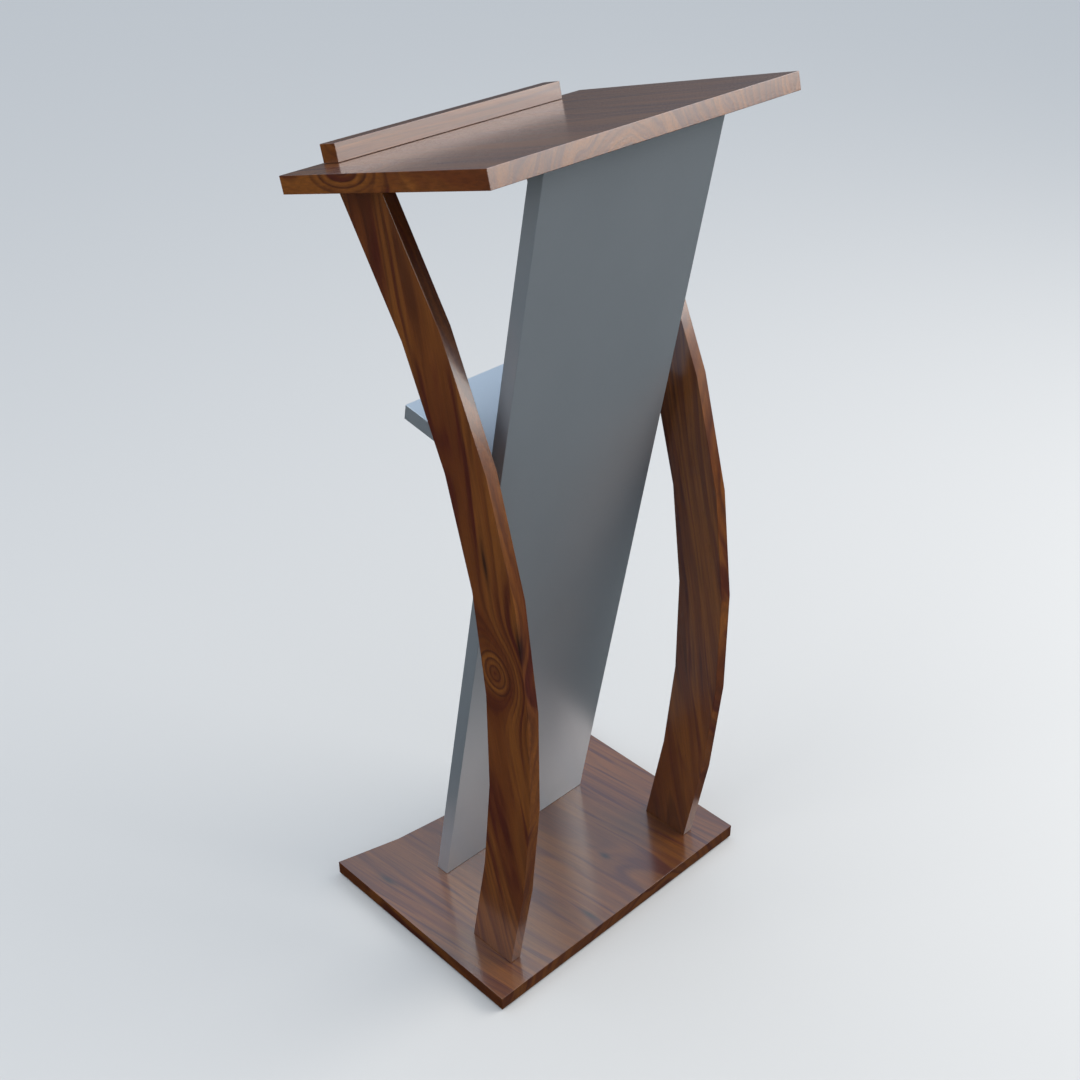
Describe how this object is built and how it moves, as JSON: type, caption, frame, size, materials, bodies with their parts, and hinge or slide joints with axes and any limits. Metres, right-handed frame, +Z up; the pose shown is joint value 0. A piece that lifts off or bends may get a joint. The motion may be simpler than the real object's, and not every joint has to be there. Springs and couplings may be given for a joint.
{
  "type": "lectern stand",
  "caption": "Free-standing lectern: sloping book desk with a ledge, leaning column with a rear shelf, two bowed side legs and a flat base with a curved rear edge.",
  "frame": {"origin": "on the floor, under the middle of the whole footprint", "axes": "+Z up, +X to the right as the audience sees it, -Y towards the audience, +Y towards the speaker"},
  "size_m": [0.5, 0.3768, 1.2196],
  "materials": {
    "walnut": "satin clear lacquer over red-brown walnut",
    "grey_lacquer": "satin metallic-grey lacquer over fibreboard",
    "beech": "bare turned dowel",
    "zinc_steel": "bright zinc plate",
    "cast_zinc": "die-cast, tumbled",
    "nylon": "moulded black nylon"
  },
  "bodies": {
    "root": {"base_board": "walnut", "book_ledge": "walnut", "cleat_column_screw_1": "zinc_steel", "cleat_column_screw_2": "zinc_steel", "cleat_desk_screw_1": "zinc_steel", "cleat_desk_screw_2": "zinc_steel", "cleat_desk_screw_3": "zinc_steel", "column_board": "grey_lacquer", "column_foot_screw_1": "zinc_steel", "column_foot_screw_2": "zinc_steel", "column_foot_screw_3": "zinc_steel", "desk_board": "walnut", "desk_cleat": "walnut", "floor_glide_front_left": "nylon", "floor_glide_front_right": "nylon", "floor_glide_rear_left": "nylon", "floor_glide_rear_right": "nylon", "glide_screw_front_left": "zinc_steel", "glide_screw_front_right": "zinc_steel", "glide_screw_rear_left": "zinc_steel", "glide_screw_rear_right": "zinc_steel", "ledge_screw_1": "zinc_steel", "ledge_screw_2": "zinc_steel", "ledge_screw_3": "zinc_steel", "left_leg": "walnut", "left_leg_foot_screw_front": "zinc_steel", "left_leg_foot_screw_rear": "zinc_steel", "left_leg_top_dowel_front": "beech", "left_leg_top_dowel_rear": "beech", "right_leg": "walnut", "right_leg_foot_screw_front": "zinc_steel", "right_leg_foot_screw_rear": "zinc_steel", "right_leg_top_dowel_front": "beech", "right_leg_top_dowel_rear": "beech", "shelf_board": "grey_lacquer", "shelf_bolt_left": "zinc_steel", "shelf_bolt_right": "zinc_steel", "shelf_cam_left": "cast_zinc", "shelf_cam_right": "cast_zinc", "shelf_dowel_left": "beech", "shelf_dowel_right": "beech"}
  },
  "joints": []
}
